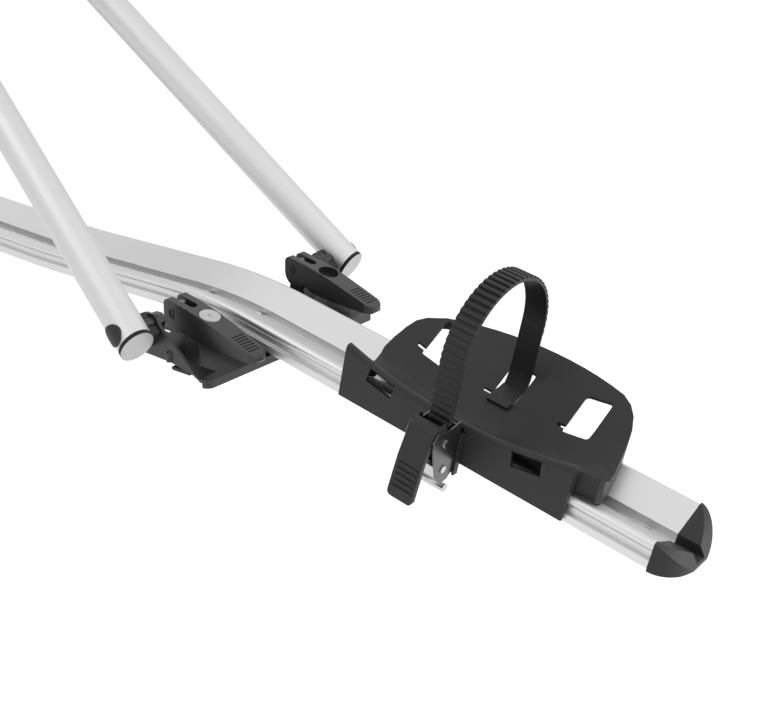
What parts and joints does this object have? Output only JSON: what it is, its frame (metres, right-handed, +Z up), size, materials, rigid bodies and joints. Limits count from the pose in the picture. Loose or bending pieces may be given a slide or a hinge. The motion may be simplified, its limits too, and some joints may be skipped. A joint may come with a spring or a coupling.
{
  "type": "roof-mounted bike carrier",
  "caption": "Roof-mounted bike carrier: bent wheel rail, strapped wheel trays, folding arms with a frame clamp, and lever clamps for the roof bars.",
  "frame": {"origin": "middle of the front foot's contact with the roof bar, on the underside of its rubber pad", "axes": "+X along the wheel rail towards the front wheel, +Y towards the left-hand lever, +Z up"},
  "size_m": [1.5348, 0.3558, 0.546],
  "materials": {
    "anodised_aluminium": "satin anodised extrusion",
    "black_plastic": "fine-grained moulding",
    "grey_plastic": "smooth light grey",
    "black_painted_steel": "black powder coat",
    "strap_rubber": "ribbed flexible plastic",
    "pad_rubber": "soft black rubber",
    "zinc_steel": "zinc plated",
    "chromed_steel": "bright chrome"
  },
  "bodies": {
    "carrier": {"wheel_rail": "anodised_aluminium", "front_end_cap": "black_plastic", "rear_end_cap": "black_plastic", "end_cap_screws": "zinc_steel", "front_foot_plate": "black_painted_steel", "foot_saddle": "black_plastic", "foot_bolts": "zinc_steel", "cam_seats": "black_painted_steel", "front_bar_pads": "pad_rubber", "pivot_bolts": "zinc_steel"},
    "arms": {"left_arm": "anodised_aluminium", "right_arm": "anodised_aluminium", "arm_end_caps": "grey_plastic", "pivot_blocks": "black_plastic", "pivot_bolt_caps": "black_plastic", "clamp_head": "black_plastic"},
    "spindle": {"clamp_spindle": "zinc_steel", "clamp_knob": "black_plastic", "knob_lock": "grey_plastic"},
    "jaw_left": {"left_jaw": "black_plastic", "left_jaw_pad": "pad_rubber"},
    "jaw_right": {"right_jaw": "black_plastic", "right_jaw_pad": "pad_rubber"},
    "claw_left": {"left_tension_rod": "zinc_steel", "left_barrel_pin": "black_painted_steel", "left_t_head": "black_painted_steel"},
    "claw_right": {"right_tension_rod": "zinc_steel", "right_barrel_pin": "black_painted_steel", "right_t_head": "black_painted_steel"},
    "lever_left": {"left_cam_lever": "black_plastic"},
    "lever_right": {"right_cam_lever": "black_plastic"},
    "lock_disc": {"lever_lock": "grey_plastic"},
    "tray_front": {"front_wheel_tray": "black_plastic", "front_strap": "strap_rubber", "front_strap_anchor": "black_plastic", "front_buckle_frame": "zinc_steel", "front_buckle_bracket": "black_plastic", "front_buckle_pins": "zinc_steel"},
    "handle_front": {"front_buckle_handle": "black_plastic"},
    "release_front": {"front_release_lever": "chromed_steel"},
    "tray_rear": {"rear_wheel_tray": "black_plastic", "rear_strap": "strap_rubber", "rear_strap_anchor": "black_plastic", "rear_buckle_frame": "zinc_steel", "rear_buckle_bracket": "black_plastic", "rear_buckle_pins": "zinc_steel"},
    "handle_rear": {"rear_buckle_handle": "black_plastic"},
    "release_rear": {"rear_release_lever": "chromed_steel"},
    "foot_rear": {"rear_foot": "black_plastic", "rear_foot_pad": "pad_rubber", "rear_foot_bolts": "zinc_steel", "rear_clamp_bolts": "zinc_steel"},
    "plate_rear": {"rear_clamp_plate": "zinc_steel"},
    "knob_front_bolt": {"rear_front_knob": "black_plastic"},
    "knob_back_bolt": {"rear_back_knob": "black_plastic"}
  },
  "joints": [
    {"name": "arm_fold", "type": "hinge", "parent": "carrier", "child": "arms", "pos_m": [0.0124, 0, 0.053], "axis": [0, 1, 0], "range_deg": [-35, 65]},
    {"name": "knob_turn", "type": "hinge", "parent": "arms", "child": "spindle", "pos_m": [-0.41352, 0, 0.41039], "axis": [0, -1, 0], "range_deg": [-300, 720]},
    {"name": "jaw_left_slide", "type": "slide", "parent": "arms", "child": "jaw_left", "axis": [0, 1, 0], "range_m": [-0.01, 0.024]},
    {"name": "jaw_right_slide", "type": "slide", "parent": "arms", "child": "jaw_right", "axis": [0, -1, 0], "range_m": [-0.01, 0.024]},
    {"name": "claw_left_drop", "type": "slide", "parent": "carrier", "child": "claw_left", "axis": [0, 0, -1], "range_m": [0, 0.0056]},
    {"name": "lever_left_open", "type": "hinge", "parent": "claw_left", "child": "lever_left", "pos_m": [0.015, 0.0885, 0.055], "axis": [0, -1, 0], "range_deg": [0, 85]},
    {"name": "claw_right_drop", "type": "slide", "parent": "carrier", "child": "claw_right", "axis": [0, 0, -1], "range_m": [0, 0.0056]},
    {"name": "lever_right_open", "type": "hinge", "parent": "claw_right", "child": "lever_right", "pos_m": [0.015, -0.0885, 0.055], "axis": [0, -1, 0], "range_deg": [0, 85]},
    {"name": "lock_turn", "type": "hinge", "parent": "lever_right", "child": "lock_disc", "pos_m": [0.054, -0.0885, 0.058], "axis": [0.2924, 0, 0.9563], "range_deg": [0, 90]},
    {"name": "tray_front_slide", "type": "slide", "parent": "carrier", "child": "tray_front", "axis": [0.9789, 0, -0.2045], "range_m": [-0.04, 0.03]},
    {"name": "handle_front_lift", "type": "hinge", "parent": "tray_front", "child": "handle_front", "pos_m": [0.31308, -0.0775, 0.00117], "axis": [-0.9789, 0, 0.2045], "range_deg": [0, 38]},
    {"name": "release_front_press", "type": "hinge", "parent": "tray_front", "child": "release_front", "pos_m": [0.30721, -0.073, -0.02692], "axis": [-0.9789, 0, 0.2045], "range_deg": [0, 25], "stiffness_Nm_per_rad": 0.05, "springref_deg": -17.19},
    {"name": "tray_rear_slide", "type": "slide", "parent": "carrier", "child": "tray_rear", "axis": [1, 0, 0], "range_m": [-0.03, 0.02]},
    {"name": "handle_rear_lift", "type": "hinge", "parent": "tray_rear", "child": "handle_rear", "pos_m": [-0.77737, -0.0775, 0.07895], "axis": [-1, 0, 0], "range_deg": [0, 38]},
    {"name": "release_rear_press", "type": "hinge", "parent": "tray_rear", "child": "release_rear", "pos_m": [-0.77737, -0.073, 0.05025], "axis": [-1, 0, 0], "range_deg": [0, 25], "stiffness_Nm_per_rad": 0.05, "springref_deg": -17.19},
    {"name": "foot_rear_slide", "type": "slide", "parent": "carrier", "child": "foot_rear", "axis": [1, 0, 0], "range_m": [-0.04, 0.04]},
    {"name": "plate_rear_drop", "type": "slide", "parent": "foot_rear", "child": "plate_rear", "axis": [0, 0, -1], "range_m": [0, 0.006]},
    {"name": "knob_front_turn", "type": "hinge", "parent": "plate_rear", "child": "knob_front_bolt", "pos_m": [-0.606, 0, -0.04], "axis": [0, 0, -1], "range_deg": [0, 1728]},
    {"name": "knob_back_turn", "type": "hinge", "parent": "plate_rear", "child": "knob_back_bolt", "pos_m": [-0.674, 0, -0.04], "axis": [0, 0, -1], "range_deg": [0, 1728]}
  ],
  "couplings": [
    {"joint": "knob_turn", "follows": "jaw_left_slide", "rad_per_m": 523.5},
    {"joint": "jaw_right_slide", "follows": "jaw_left_slide", "ratio": 1},
    {"joint": "lever_left_open", "follows": "claw_left_drop", "rad_per_m": 264.9},
    {"joint": "lever_right_open", "follows": "claw_right_drop", "rad_per_m": 264.9},
    {"joint": "knob_front_turn", "follows": "plate_rear_drop", "rad_per_m": 5020},
    {"joint": "knob_back_turn", "follows": "plate_rear_drop", "rad_per_m": 5020}
  ]
}
